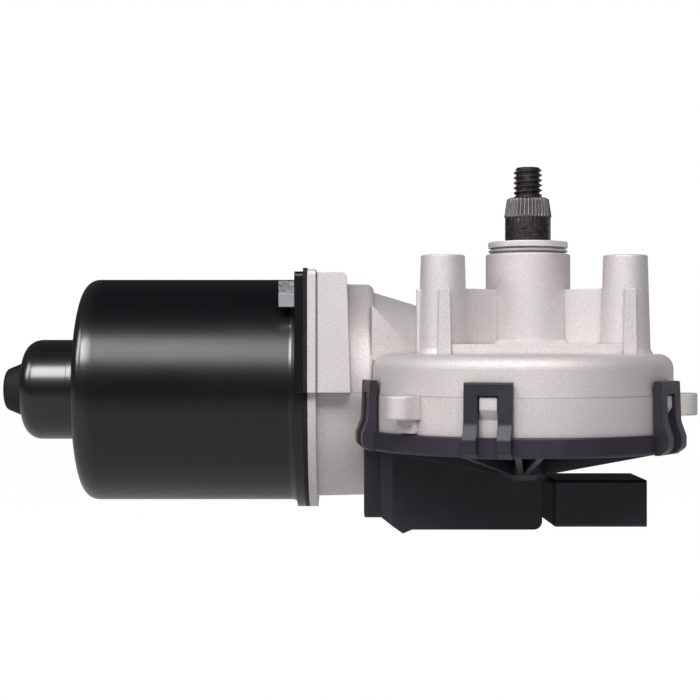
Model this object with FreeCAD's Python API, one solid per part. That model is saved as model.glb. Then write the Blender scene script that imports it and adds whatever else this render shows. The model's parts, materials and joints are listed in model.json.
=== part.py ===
"""Windscreen wiper motor: permanent-magnet motor, worm drive, gear case and control cover.

Millimetres. The origin is on the output shaft's axis, in the plane of the three mounting
faces. +Z points out along the output shaft and the motor lies towards -X. The motor and
worm axis is parallel to X, one centre distance behind the output shaft.
"""
import FreeCAD, Part
import math
import os

V = FreeCAD.Vector
os.makedirs("parts", exist_ok=True)

# Worm drive
module = 1.1
wheel_teeth = 60
worm_pitch_radius = 5.0
pressure_angle = math.radians(20)
wheel_face_width = 9.0
backlash = 0.15
tip_clearance = 0.3
worm_turns = 8

# Worm wheel's inside and what it carries
wheel_hub_radius = 12.0
wheel_rim_thickness = 3.0
wheel_web_thickness = 4.0
drive_plate_radius = 17.5
drive_plate_thickness = 2.0
drive_centre_radius = 11.0
drive_lobe_radius = 4.0
park_ring_inner = 19.5
park_ring_outer = 27.5
park_ring_thickness = 0.5
park_notch_width = 7.0
park_notch_depth = 3.0

# Motor axis, measured from the mounting plane
motor_axis_z = -37.6
wheel_pitch_radius = wheel_teeth * module / 2
motor_axis_y = wheel_pitch_radius + worm_pitch_radius

# Output shaft
shaft_radius = 6.35
running_clearance = 0.03
shaft_shoulder_z = 11.5
serration_length = 5.3
serration_count = 36
serration_root_radius = 6.1
serration_tip_radius = 6.6
serration_draft = 0.75
stud_radius = 3.95
stud_length = 8.55

# Hub and its bearings
hub_radius = 11.75
hub_top_z = 1.05
spigot_radius = 10.2
spigot_height = 1.7
hub_bore_radius = 8.6
bush_length = 11.0
seal_section = 1.1
hub_foot_z = -31.0
shim_lift = 0.64
shim_thickness = 0.54
ring_groove_lift = 0.3
ring_thickness = 0.6
cap_radius = 11.05
cap_thickness = 1.67
cap_wall = 0.65

# Mounting bosses
boss_circle_radius = 28.5
boss_top_radius = 5.95
boss_base_radius = 6.7
boss_angles = (90, 210, 330)
boss_hole_radius = 2.5
boss_hole_depth = 20.0
boss_rib_top_z = -9.1
boss_rib_width = 3.6
boss_rib_reach = 7.7
side_rib_reach = 7.15
web_top_z = -8.9
web_thickness = 3.4
plate_height = 2.7
plate_side = 7.2
plate_corner_radius = 5.0

# Gear case
case_centre_x = -1.75
wheel_room = 3.9
case_wall = 4.0
case_top_z = -26.75
case_roof = 3.4
case_shoulder = 3.9
case_bottom_z = -49.8
parting_step = 0.25
tunnel_wall = 2.7
tunnel_bore_radius = 7.0
tunnel_end_x = 32.0

# Neck that carries the motor
neck_step = 1.1
neck_wall = 3.7
neck_end_x = -42.6
neck_corner = 2.2
neck_shoulder_x = -30.0
neck_shoulder_drop = 6.6
neck_shoulder_length = 16.0
gusset_start_z = -13.8
gusset_corner_x = -33.2
gusset_end_x = -24.0
gusset_curve = 8.0
gusset_front_y = 8.0
gusset_width = 17.0
flange_face_x = -61.8
flange_thickness = 2.4
flange_step = 2.1
ear_radius = 6.0
flange_ear_rise = 6.6
ear_block_rise = 5.7
ear_block_reach = 11.0
ear_block_right_x = -50.7
ear_block_depth = 32.0
ear_groove = 0.5

# Motor can
gasket_thickness = 1.2
gasket_ear_rise = 7.0
can_flange_thickness = 2.45
can_ear_rise = 6.0
can_radius = 33.4
can_wall = 1.8
can_end_x = -129.7
can_corner = 4.0
bearing_cup_radius = 15.1
bearing_cup_length = 18.9
bearing_cup_corner = 5.2
cup_base_length = 4.2
nose_radius = 8.4
nose_tip_radius = 5.95
nose_length = 6.0
nose_plug_radius = 5.9

# Screws that hold the can
screw_offset = 5.6
screw_tilt = math.radians(46.1)
screw_radius = 2.45
screw_hole_radius = 2.5
screw_head_flats = 7.5
screw_head_height = 4.75
screw_length = 13.5
screw_hole_depth = 10.0

# Armature
armature_shaft_radius = 4.0
front_journal_radius = 3.0
shaft_front_x = 27.0
shaft_end_gap = 1.2
rear_bush_length = 8.0
rear_bush_crown = 8.2
middle_bush_length = 9.0
air_gap = 0.95
winding_clearance = 2.5
winding_overhang = 8.5
slot_count = 12
slot_depth = 12.0
commutator_radius = 10.5
commutator_length = 20.5
commutator_gap = 3.5
commutator_bars = 12
magnet_thickness = 5.6
magnet_overhang = 5.0
magnet_half_angle = 62.0

# Brush gear
card_inset = 5.0
card_thickness = 2.0
card_hole_radius = 12.5
card_screw_inset = 4.6
brush_angles = (0, 110, 180)
brush_width = 6.0
brush_height = 5.0
brush_length = 11.0
holder_wall = 0.8
holder_gap = 1.5
holder_overhang = 3.5
spring_reach = 2.4
spring_width = 3.0
spring_sheet = 0.45
choke_inset = 8.1
choke_radius = 2.6
choke_length = 9.0
capacitor_radius = 3.0
capacitor_length = 8.0
cut_out_inset = 10.6
cut_out_height = 5.5
cut_out_width = 12.0
cut_out_length = 5.0

# Control cover
rim_reach = 1.6
cover_gap = 0.15
rim_top_z = -47.8
rim_bottom_z = -53.0
cover_gasket_thickness = 0.8
rib_angles = (207, 243, 262.3, 270, 318, 345, 70)
rib_thickness = 1.6
rib_hub_radius = 8.2
rib_hub_z = -61.7
clip_angles = (189, 252.4, 325.5, 25)
clip_width = 12.5
clip_window_width = 5.3
clip_top_z = -33.8
clip_bar_height = 3.4
clip_thickness = 1.9
clip_draft = 0.4
clip_foot = 1.9
catch_width = 4.6
catch_height = 6.6
catch_reach = 1.6
pad_angles = (219.4, 0)
pad_radius = 4.15
pad_height = 6.2
pad_reach = 3.0
pad_step_radius = 3.2
pad_step_height = 3.6
pad_step_inset = 1.5
pod_left_x = -41.3
pod_right_x = 3.9
pod_front_y = -1.0
pod_back_y = 27.0
pod_bottom_z = -75.8
pod_wall = 2.0
pod_keel_start = 6.3
pod_keel_end = 8.8
pod_keel_drop = 1.1
pod_slope_rise = 3.3
pod_corner_radius = 2.4
side_pod_left_x = -45.8
side_pod_front_y = 3.0
side_pod_back_y = 12.0
side_pod_bottom_z = -72.8
socket_left_x = 7.75
socket_right_x = 33.35
socket_front_y = 0.0
socket_back_y = 27.0
socket_top_z = -62.1
socket_bottom_z = -75.2
socket_wall = 1.6
socket_depth = 21.0
terminal_count = 5
terminal_pitch = 3.6
terminal_width = 2.4
terminal_thickness = 0.8
terminal_free_length = 11.0

# Circuit board and relays
board_clearance = 1.1
board_thickness = 1.6
board_post_height = 1.4
board_post_circle = 31.0
board_post_radius = 3.0
board_post_angles = (20, 215, 290)
board_screw_radius = 1.1
board_screw_reach = 2.2
board_screw_head = 1.5
relay_offset = 8.3
relay_width = 12.5
relay_gap = 2.0
relay_front_y = 4.0
relay_depth = 18.0
relay_height = 17.0
contact_inset = 1.3
contact_pitch = 2.4
contact_width = 1.6
contact_sheet = 0.4
contact_foot_x = -16.0
contact_bend_x = -9.5
contact_tip_x = -1.2

# Sizes worked out from the ones above
axial_pitch = math.pi * module
lead_angle = math.atan(axial_pitch / (2 * math.pi * worm_pitch_radius))
wheel_tip_radius = wheel_pitch_radius + module
worm_tip_radius = worm_pitch_radius + module
wheel_root_radius = motor_axis_y - worm_tip_radius - tip_clearance
worm_root_radius = motor_axis_y - wheel_tip_radius - tip_clearance
wheel_rim_inner_radius = wheel_root_radius - wheel_rim_thickness
wheel_bottom_z = motor_axis_z - wheel_face_width / 2
wheel_top_z = motor_axis_z + wheel_face_width / 2
worm_start_x = (0.25 - worm_turns / 2) * axial_pitch
worm_end_x = worm_start_x + worm_turns * axial_pitch
case_inner_radius = wheel_tip_radius + wheel_room
case_radius = case_inner_radius + case_wall
case_ceiling_z = case_top_z - case_roof
plate_top_z = case_top_z + plate_height
tunnel_radius = tunnel_bore_radius + tunnel_wall
neck_radius = can_radius - neck_step
neck_inner_radius = neck_radius - neck_wall
bearing_bore_radius = tunnel_bore_radius + 1.0
middle_bush_start_x = neck_end_x - neck_wall + 1.0
middle_bush_end_x = middle_bush_start_x + middle_bush_length
flange_radius = can_radius + flange_step
screw_reach = can_radius + screw_offset
screw_y = motor_axis_y - screw_reach * math.cos(screw_tilt)
screw_z = motor_axis_z + screw_reach * math.sin(screw_tilt)
ear_front_y = screw_y - ear_block_reach
spigot_top_z = hub_top_z + spigot_height
ring_groove_z = spigot_top_z + ring_groove_lift
stud_start_z = shaft_shoulder_z + serration_length
housing_flange_back_x = flange_face_x + flange_thickness
can_face_x = flange_face_x - gasket_thickness
can_flange_x = can_face_x - can_flange_thickness
can_inner_radius = can_radius - can_wall
bearing_cup_end_x = can_end_x - bearing_cup_length
shaft_rear_x = bearing_cup_end_x + can_wall + shaft_end_gap
card_seat_x = neck_end_x - card_inset
card_screw_circle = neck_inner_radius - card_screw_inset
choke_circle = neck_inner_radius - choke_inset
cut_out_low = neck_inner_radius - cut_out_inset
brush_x = card_seat_x - card_thickness - holder_wall - brush_width / 2
commutator_end_x = brush_x + brush_width / 2 + 0.3
commutator_start_x = commutator_end_x - commutator_length
core_start_x = can_end_x + can_wall + winding_clearance + winding_overhang
core_end_x = commutator_start_x - commutator_gap - winding_overhang
magnet_inner_radius = can_inner_radius - magnet_thickness
core_radius = magnet_inner_radius - air_gap
magnet_start_x = core_start_x - magnet_overhang
magnet_end_x = core_end_x + magnet_overhang
cover_radius = case_radius + rim_reach
cover_floor_z = case_bottom_z - cover_gasket_thickness
catch_top_z = clip_top_z - clip_bar_height - 0.25
board_radius = case_inner_radius - board_clearance
board_bottom_z = cover_floor_z + board_post_height
board_top_z = board_bottom_z + board_thickness
terminal_z = (socket_top_z + socket_bottom_z) / 2


def save(name, *solids):
    """Write one node, as one solid or as a group of separate solids."""
    shape = solids[0] if len(solids) == 1 else Part.makeCompound(list(solids))
    shape.exportStep("parts/" + name + ".step")


def box(x0, x1, y0, y1, z0, z1):
    return Part.makeBox(x1 - x0, y1 - y0, z1 - z0, V(x0, y0, z0))


def rod_z(radius, z0, z1, x=0.0, y=0.0):
    return Part.makeCylinder(radius, z1 - z0, V(x, y, z0), V(0, 0, 1))


def rod_x(radius, x0, x1, y=motor_axis_y, z=motor_axis_z):
    return Part.makeCylinder(radius, x1 - x0, V(x0, y, z), V(1, 0, 0))


def ring_z(inner, outer, z0, z1, x=0.0, y=0.0):
    return rod_z(outer, z0, z1, x, y).cut(rod_z(inner, z0 - 1, z1 + 1, x, y))


def ring_x(inner, outer, x0, x1):
    return rod_x(outer, x0, x1).cut(rod_x(inner, x0 - 1, x1 + 1))


def at_angle(shape, degrees, x=0.0, y=0.0):
    """Turn a shape about a vertical axis."""
    turned = shape.copy()
    turned.rotate(V(x, y, 0), V(0, 0, 1), degrees)
    return turned


def round_motor(shape, degrees):
    """Turn a shape about the motor axis, from +Y towards +Z."""
    turned = shape.copy()
    turned.rotate(V(0, motor_axis_y, motor_axis_z), V(1, 0, 0), degrees)
    return turned


def outline(corners, place):
    """Closed wire through (u, v, corner radius) points, with tangent arcs at the corners."""
    points = [V(c[0], c[1], 0) for c in corners]
    radii = [c[2] if len(c) > 2 else 0 for c in corners]
    count = len(points)
    trimmed = []
    for i in range(count):
        corner = points[i]
        if radii[i] == 0:
            trimmed.append((corner, None, corner))
            continue
        back = (points[i - 1] - corner).normalize()
        ahead = (points[(i + 1) % count] - corner).normalize()
        half = back.getAngle(ahead) / 2
        reach = radii[i] / math.tan(half)
        middle = (back + ahead).normalize()
        centre = corner + middle * (radii[i] / math.sin(half))
        trimmed.append((corner + back * reach, centre - middle * radii[i], corner + ahead * reach))
    edges = []
    for i in range(count):
        start, crown, end = trimmed[i]
        if crown is not None:
            edges.append(Part.Arc(place(start), place(crown), place(end)).toShape())
        following = trimmed[(i + 1) % count][0]
        if end.distanceToPoint(following) > 1e-6:
            edges.append(Part.LineSegment(place(end), place(following)).toShape())
    return Part.Wire(edges)


def turned_z(corners, x=0.0, y=0.0):
    """Solid of revolution about a vertical axis from (radius, z) corners."""
    wire = outline(corners, lambda p: V(x + p.x, y, p.y))
    return Part.Face(wire).revolve(V(x, y, 0), V(0, 0, 1), 360)


def turned_x(corners):
    """Solid of revolution about the motor axis from (x, radius) corners."""
    wire = outline(corners, lambda p: V(p.x, motor_axis_y, motor_axis_z + p.y))
    return Part.Face(wire).revolve(V(0, motor_axis_y, motor_axis_z), V(1, 0, 0), 360)


def plate_xz(corners, y0, y1):
    wire = outline(corners, lambda p: V(p.x, y0, p.y))
    return Part.Face(wire).extrude(V(0, y1 - y0, 0))


def plate_xy(corners, z0, z1):
    wire = outline(corners, lambda p: V(p.x, p.y, z0))
    return Part.Face(wire).extrude(V(0, 0, z1 - z0))


def plate_yz(corners, x0, x1):
    wire = outline(corners, lambda p: V(x0, p.x, p.y))
    return Part.Face(wire).extrude(V(x1 - x0, 0, 0))


def on_circle(radius, degrees, centre_x=0.0):
    angle = math.radians(degrees)
    return centre_x + radius * math.cos(angle), radius * math.sin(angle)


def screw_places():
    """The two can screws, on opposite sides of the motor axis, as (y, z)."""
    return ((screw_y, screw_z), (2 * motor_axis_y - screw_y, 2 * motor_axis_z - screw_z))


def motor_flange(x0, x1, ear_rise):
    """Round flange with a square ear at the upper can screw and a round one at the lower."""
    upper = plate_yz(
        [
            (ear_front_y, motor_axis_z),
            (ear_front_y, screw_z + ear_rise, 1.5),
            (motor_axis_y - 6.0, screw_z + ear_rise, 1.5),
            (motor_axis_y - 6.0, motor_axis_z),
        ],
        x0,
        x1,
    )
    root_half = ear_radius * 1.8
    lower = plate_yz(
        [
            (motor_axis_y - screw_reach, motor_axis_z - ear_radius),
            (motor_axis_y - screw_reach, motor_axis_z + ear_radius),
            (motor_axis_y - screw_reach * 0.55, motor_axis_z + root_half),
            (motor_axis_y - screw_reach * 0.55, motor_axis_z - root_half),
        ],
        x0,
        x1,
    )
    lower = lower.fuse(rod_x(ear_radius, x0, x1, motor_axis_y - screw_reach))
    lower = round_motor(lower, 180 - math.degrees(screw_tilt))
    return rod_x(flange_radius, x0, x1).fuse([upper, lower]).removeSplitter()


def drum():
    """Gear case wall and roof, as one turned blank."""
    return turned_z(
        [
            (0, case_top_z),
            (case_radius - 2 * parting_step, case_top_z, case_shoulder),
            (case_radius - parting_step, motor_axis_z),
            (case_radius, motor_axis_z),
            (case_radius, case_bottom_z),
            (0, case_bottom_z),
        ],
        case_centre_x,
    )


def mounting_boss(degrees):
    """Tapered boss with a stiffening rib on its outside and a web to the hub."""
    x, y = on_circle(boss_circle_radius, degrees)
    post = turned_z(
        [
            (0, 0),
            (boss_top_radius, 0, 0.5),
            (boss_base_radius, case_top_z + 1.5),
            (boss_base_radius + 1.2, case_top_z - 1),
            (0, case_top_z - 1),
        ],
        x,
        y,
    )
    web = box(0, boss_circle_radius, -web_thickness / 2, web_thickness / 2, case_top_z - 1, web_top_z)
    return post.fuse(at_angle(web, degrees))


def boss_rib(degrees, facing, reach=boss_rib_reach):
    """Tapered rib that stands proud of a boss, on the side that it faces."""
    x, y = on_circle(boss_circle_radius, degrees)
    low = boss_rib_width / 2
    high = low - 0.3
    rib = plate_xz(
        [
            (-low, case_top_z - 1),
            (low, case_top_z - 1),
            (high, boss_rib_top_z, 0.5),
            (-high, boss_rib_top_z, 0.5),
        ],
        -reach,
        0,
    )
    rib.rotate(V(0, 0, 0), V(0, 0, 1), facing)
    rib.translate(V(x, y, 0))
    return rib


def boss_plate():
    """Raised pad that ties the three bosses together, with its sides between them."""
    corners = []
    for angle in boss_angles:
        x, y = on_circle(boss_circle_radius, angle)
        for side in (-60, 60):
            across, along = on_circle(plate_side, angle + side)
            corners.append((x + across, y + along, plate_corner_radius))
    return plate_xy(corners, case_top_z - 1, plate_top_z)


def neck():
    """Round neck for the brush gear, with its sloping shoulder down to the worm tunnel."""
    barrel = turned_x(
        [
            (housing_flange_back_x - 1, 0),
            (housing_flange_back_x - 1, neck_radius),
            (neck_end_x, neck_radius - 0.4, neck_corner),
            (neck_end_x, 0),
        ]
    )
    cover_room = rod_z(cover_radius + 1.5, motor_axis_z - 2 * neck_radius, rim_top_z + 0.5, case_centre_x)
    shoulder = turned_x(
        [
            (neck_end_x - 1, 0),
            (neck_end_x - 1, neck_radius - 2.5),
            (neck_shoulder_x, neck_radius - neck_shoulder_drop, 4.0),
            (neck_shoulder_x + neck_shoulder_length, tunnel_radius),
            (neck_shoulder_x + neck_shoulder_length, 0),
        ]
    )
    far = 3 * can_radius
    low = rim_top_z + 0.5
    shoulder = shoulder.cut(box(neck_end_x - far, neck_end_x + far, -far, far, low - far, low))
    return barrel.cut(cover_room).fuse(shoulder)


def neck_gusset():
    """Gusset with a concave top between the neck's end wall and the boss plate."""
    wire = outline(
        [
            (neck_end_x - 1, gusset_start_z + 1.2),
            (gusset_corner_x, plate_top_z, gusset_curve),
            (gusset_end_x, plate_top_z),
            (gusset_end_x, case_top_z - 2),
            (neck_end_x - 1, case_top_z - 2),
        ],
        lambda p: V(p.x, gusset_front_y, p.y),
    )
    return Part.Face(wire).extrude(V(0, gusset_width, 0))


def ear_block():
    """Square block behind the flange, past a narrow groove, that takes the upper can screw."""
    top = screw_z + ear_block_rise
    left = housing_flange_back_x + ear_groove
    block = plate_xz(
        [
            (left, motor_axis_z),
            (ear_block_right_x + 1.1, motor_axis_z),
            (ear_block_right_x, top, 1.5),
            (left, top),
        ],
        ear_front_y,
        ear_block_depth,
    )
    root = box(housing_flange_back_x - 1, left + 1, ear_front_y + 1, ear_block_depth, motor_axis_z, top - 1)
    return block.fuse(root)


def low_ear():
    """Round ear behind the flange that takes the lower can screw."""
    y, z = screw_places()[1]
    return rod_x(ear_radius, housing_flange_back_x - 1, ear_block_right_x - 2, y, z)


def catch(degrees):
    """Cast wedge that a cover clip snaps over."""
    wedge = plate_xz(
        [
            (case_radius - 2, catch_top_z),
            (case_radius + catch_reach, catch_top_z, 0.3),
            (case_radius + catch_reach, catch_top_z - catch_height * 0.5),
            (case_radius - 0.4, catch_top_z - catch_height),
            (case_radius - 2, catch_top_z - catch_height),
        ],
        -catch_width / 2,
        catch_width / 2,
    )
    wedge.translate(V(case_centre_x, 0, 0))
    return at_angle(wedge, degrees, case_centre_x)


def side_pad(degrees):
    """Short round pad that hangs below the parting line, with a narrower step under it."""
    centre = case_radius + pad_reach
    low = motor_axis_z - pad_height
    pad = rod_z(pad_radius, low, motor_axis_z, centre)
    pad = pad.makeFillet(0.5, [edge for edge in pad.Edges if len(edge.Vertexes) == 1])
    root = box(case_radius - 3, centre, -pad_radius, pad_radius, low, motor_axis_z)
    step = box(case_radius - 3, centre, -pad_step_radius, pad_step_radius, low - pad_step_height, low)
    beyond = box(centre - pad_step_inset, centre + 1, -pad_radius, pad_radius, low - 2 * pad_step_height, low)
    pad = pad.fuse([root, step.cut(beyond)])
    pad.translate(V(case_centre_x, 0, 0))
    return at_angle(pad, degrees, case_centre_x)


def gear_housing():
    body = drum()
    hub = turned_z(
        [
            (0, spigot_top_z),
            (spigot_radius, spigot_top_z),
            (spigot_radius, hub_top_z),
            (hub_radius, hub_top_z, 0.5),
            (hub_radius, hub_foot_z),
            (0, hub_foot_z),
        ]
    )
    hub_root = turned_z(
        [
            (0, plate_top_z + 1.2),
            (hub_radius, plate_top_z + 1.2),
            (hub_radius + 1.2, plate_top_z),
            (hub_radius + 1.2, case_top_z),
            (0, case_top_z),
        ]
    )
    tunnel = rod_x(tunnel_radius, neck_end_x, tunnel_end_x)
    tunnel = tunnel.makeFillet(1.0, [e for e in tunnel.Edges if e.BoundBox.XMin > tunnel_end_x - 0.01])
    additions = [hub_root, boss_plate(), tunnel, neck(), neck_gusset(), ear_block(), low_ear()]
    additions += [motor_flange(flange_face_x, housing_flange_back_x, flange_ear_rise)]
    additions += [mounting_boss(angle) for angle in boss_angles]
    additions += [boss_rib(210, 0), boss_rib(330, 0), boss_rib(90, 180)]
    additions += [boss_rib(210, -90, side_rib_reach)]
    additions += [catch(angle) for angle in clip_angles]
    additions += [side_pad(angle) for angle in pad_angles]
    body = body.fuse(additions)
    cavity = rod_z(case_inner_radius, case_bottom_z - 1, case_ceiling_z, case_centre_x)
    body = body.cut(cavity).fuse(hub)
    hollows = [rod_z(hub_bore_radius, hub_foot_z - 1, spigot_top_z + 1)]
    hollows += [rod_x(neck_inner_radius, flange_face_x - 1, card_seat_x)]
    hollows += [rod_x(neck_inner_radius - 2, card_seat_x - 1, neck_end_x - neck_wall)]
    hollows += [rod_x(bearing_bore_radius, middle_bush_start_x - 2, middle_bush_end_x + 0.5)]
    hollows += [rod_x(tunnel_bore_radius, middle_bush_end_x, tunnel_end_x + 1)]
    for angle in boss_angles:
        x, y = on_circle(boss_circle_radius, angle)
        hollows.append(rod_z(boss_hole_radius, -boss_hole_depth, 1, x, y))
    for y, z in screw_places():
        hollows.append(rod_x(screw_hole_radius, flange_face_x - 1, flange_face_x + screw_hole_depth, y, z))
    return body.cut(hollows).removeSplitter()


def hub_parts():
    """Bushes, shaft seal, shim and cap in and on the hub."""
    inner = shaft_radius + running_clearance
    upper_top = spigot_top_z - 0.3 - 2 * seal_section - 0.3
    upper = ring_z(inner, hub_bore_radius, upper_top - bush_length, upper_top)
    lower = ring_z(inner, hub_bore_radius, hub_foot_z, hub_foot_z + bush_length)
    middle = (inner + hub_bore_radius) / 2
    seal_radius = (hub_bore_radius - inner) / 2 - 0.01
    seal = Part.makeTorus(middle, seal_radius, V(0, 0, upper_top + seal_section + 0.1))
    shim_z = hub_top_z + shim_lift
    shim = ring_z(spigot_radius + 0.05, cap_radius - 0.1, shim_z, shim_z + shim_thickness)
    bottom = spigot_top_z + 0.05
    cap = turned_z(
        [
            (shaft_radius + 0.15, bottom + cap_thickness - cap_wall),
            (shaft_radius + 0.15, bottom + cap_thickness),
            (cap_radius, bottom + cap_thickness, 0.35),
            (cap_radius, bottom, 0.2),
            (spigot_radius - 0.6, bottom),
            (spigot_radius - 0.6, bottom + cap_thickness - cap_wall),
        ]
    )
    save("upper_shaft_bush", upper)
    save("lower_shaft_bush", lower)
    save("shaft_seal", seal)
    save("hub_shim", shim)
    save("shaft_cap", cap)


def output_shaft():
    """Shaft with a retaining groove, tapered serrations for the lever and a stud end."""
    top = stud_start_z + stud_length
    groove_low = ring_groove_z
    groove_high = groove_low + ring_thickness
    lower_end = wheel_bottom_z - 1.4
    body = turned_z(
        [
            (0, top),
            (stud_radius - 0.85, top),
            (stud_radius, top - 0.85),
            (stud_radius, stud_start_z),
            (serration_root_radius - serration_draft, stud_start_z),
            (serration_root_radius, shaft_shoulder_z + 0.6),
            (shaft_radius, shaft_shoulder_z),
            (shaft_radius, groove_high),
            (shaft_radius - 0.6, groove_high),
            (shaft_radius - 0.6, groove_low),
            (shaft_radius, groove_low),
            (shaft_radius, lower_end, 0.6),
            (0, lower_end),
        ]
    )
    half = math.pi / serration_count

    def star(tip, root, z):
        points = []
        for i in range(serration_count):
            middle = 2 * half * i
            points.append(V(root * math.cos(middle - half), root * math.sin(middle - half), z))
            points.append(V(tip * math.cos(middle), tip * math.sin(middle), z))
        return Part.makePolygon(points + [points[0]])

    low = star(serration_tip_radius, serration_root_radius, shaft_shoulder_z)
    high = star(
        serration_tip_radius - serration_draft, serration_root_radius - serration_draft, stud_start_z - 0.4
    )
    teeth = Part.makeLoft([low, high], True, True)
    save("output_shaft", body.fuse(teeth).removeSplitter())
    washer = ring_z(shaft_radius + 0.05, spigot_radius - 0.9, spigot_top_z + 0.02, groove_low - 0.02)
    circlip = ring_z(shaft_radius - 0.6, shaft_radius + 1.6, groove_low, groove_high)
    circlip = circlip.cut(box(0, hub_radius, -2.5, 2.5, 0, hub_radius))
    save("retaining_washer", washer)
    save("retaining_ring", circlip)


def involute_turn(radius):
    """Involute function of the pressure angle at a radius of the wheel."""
    angle = math.acos(wheel_pitch_radius * math.cos(pressure_angle) / radius)
    return math.tan(angle) - angle


def wheel_outline(z):
    """Tooth outline of the wheel at a height, turned to follow its right-hand helix."""
    twist = math.tan(lead_angle) * (z - motor_axis_z) / wheel_pitch_radius
    pitch_half = (axial_pitch / 2 - backlash) / (2 * wheel_pitch_radius)
    base = pitch_half + involute_turn(wheel_pitch_radius)
    step = 2 * math.pi / wheel_teeth
    edges = []

    def point(radius, angle):
        return V(radius * math.cos(angle), radius * math.sin(angle), z)

    for i in range(wheel_teeth):
        # a tooth space, not a tooth, faces the worm
        middle = math.pi / 2 + (i + 0.5) * step + twist
        radii = (wheel_root_radius, wheel_pitch_radius, wheel_tip_radius)
        rise = [point(r, middle - base + involute_turn(r)) for r in radii]
        fall = [point(r, middle + base - involute_turn(r)) for r in reversed(radii)]
        onward = point(wheel_root_radius, middle + step - base + involute_turn(wheel_root_radius))
        edges.append(Part.Arc(*rise).toShape())
        edges.append(Part.Arc(rise[2], point(wheel_tip_radius, middle), fall[0]).toShape())
        edges.append(Part.Arc(*fall).toShape())
        edges.append(Part.Arc(fall[2], point(wheel_root_radius, middle + step / 2), onward).toShape())
    return Part.Wire(edges)


def worm_wheel():
    """Helical worm wheel with a ribbed web, a pocket for the drive plate and its park ring."""
    gear = Part.makeLoft([wheel_outline(wheel_bottom_z), wheel_outline(wheel_top_z)], True, True)
    hub = rod_z(wheel_hub_radius, wheel_bottom_z, hub_foot_z - 1.1)
    web_low = motor_axis_z - wheel_web_thickness / 2
    web_high = motor_axis_z + wheel_web_thickness / 2
    trough = ring_z(wheel_hub_radius, wheel_rim_inner_radius, web_high, wheel_top_z + 1)
    trough = trough.fuse(ring_z(wheel_hub_radius, wheel_rim_inner_radius, wheel_bottom_z - 1, web_low))
    reach = wheel_rim_inner_radius + 1
    for i in range(6):
        rib = box(-reach, reach, -1, 1, wheel_bottom_z - 1, wheel_top_z + 1)
        trough = trough.cut(at_angle(rib, 15 + 30 * i))
    gear = gear.cut(trough).fuse(hub)
    fit = 0.05
    pocket = drive_outline(fit, wheel_bottom_z - 1, wheel_bottom_z + drive_plate_thickness + fit)
    bore = rod_z(shaft_radius + 0.02, wheel_bottom_z - 2, hub_foot_z)
    save("worm_wheel", gear.cut([pocket, bore]).removeSplitter())
    plate = drive_outline(0, wheel_bottom_z, wheel_bottom_z + drive_plate_thickness)
    save("drive_plate", plate.cut(rod_z(shaft_radius, wheel_bottom_z - 1, 0)))
    ring = ring_z(park_ring_inner, park_ring_outer, wheel_bottom_z - park_ring_thickness, wheel_bottom_z)
    half = park_notch_width / 2
    notch = box(0, park_ring_outer + 1, -half, half, wheel_bottom_z - 1, wheel_bottom_z)
    inside = rod_z(park_ring_outer - park_notch_depth, wheel_bottom_z - 2, wheel_bottom_z + 1)
    notch = at_angle(notch, 250).cut(inside)
    save("park_ring", ring.cut(notch))
    thrust = ring_z(shaft_radius + 0.05, wheel_hub_radius - 1, hub_foot_z - 1.05, hub_foot_z - 0.05)
    save("thrust_washer", thrust)


def drive_outline(offset, z0, z1):
    """Three-lobed plate that carries the wheel's torque to the shaft."""
    half = drive_lobe_radius + offset
    plate = rod_z(drive_centre_radius + offset, z0, z1)
    lobe_centre = drive_plate_radius - drive_lobe_radius
    for angle in (90, 210, 330):
        x, y = on_circle(lobe_centre, angle)
        arm = box(0, lobe_centre, -half, half, z0, z1)
        plate = plate.fuse([rod_z(half, z0, z1, x, y), at_angle(arm, angle)])
    return plate.removeSplitter()


def armature_shaft():
    """Armature shaft with the rolled worm thread near its front end."""
    half_tip = axial_pitch / 4 - backlash / 2 - module * math.tan(pressure_angle)
    sunk = 0.35
    depth = worm_tip_radius - worm_root_radius + sunk
    half_root = half_tip + depth * math.tan(pressure_angle)
    inner = worm_root_radius - sunk
    points = [
        V(inner, 0, -half_root),
        V(worm_tip_radius, 0, -half_tip),
        V(worm_tip_radius, 0, half_tip),
        V(inner, 0, half_root),
    ]
    profile = Part.makePolygon(points + [points[0]])
    length = axial_pitch * worm_turns
    helix = Part.makeHelix(axial_pitch, length, worm_pitch_radius)
    thread = Part.Wire(helix).makePipeShell([profile], True, True)
    if thread.Volume < 0:
        thread.reverse()
    thread.rotate(V(0, 0, 0), V(0, 1, 0), 90)
    thread.translate(V(worm_start_x, motor_axis_y, motor_axis_z))
    body = turned_x(
        [
            (shaft_rear_x, 0),
            (shaft_rear_x, armature_shaft_radius, 0.5),
            (worm_start_x - 2.2, armature_shaft_radius),
            (worm_start_x - 1.6, worm_root_radius),
            (worm_end_x + 1.0, worm_root_radius),
            (worm_end_x + 1.4, front_journal_radius),
            (shaft_front_x, front_journal_radius, 0.5),
            (shaft_front_x, 0),
        ]
    )
    save("armature_shaft", body.fuse(thread))


def armature_slot(inset):
    """Tapered winding slot, narrowed all round by an inset, towards +Z of the motor axis."""
    bottom = core_radius - slot_depth
    shoulder = core_radius - 2.3
    wire = [
        (motor_axis_y - 1.4 + inset, motor_axis_z + bottom + inset),
        (motor_axis_y + 1.4 - inset, motor_axis_z + bottom + inset),
        (motor_axis_y + 3.9 - inset, motor_axis_z + shoulder - inset),
        (motor_axis_y - 3.9 + inset, motor_axis_z + shoulder - inset),
    ]
    return plate_yz(wire, core_start_x, core_end_x)


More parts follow.
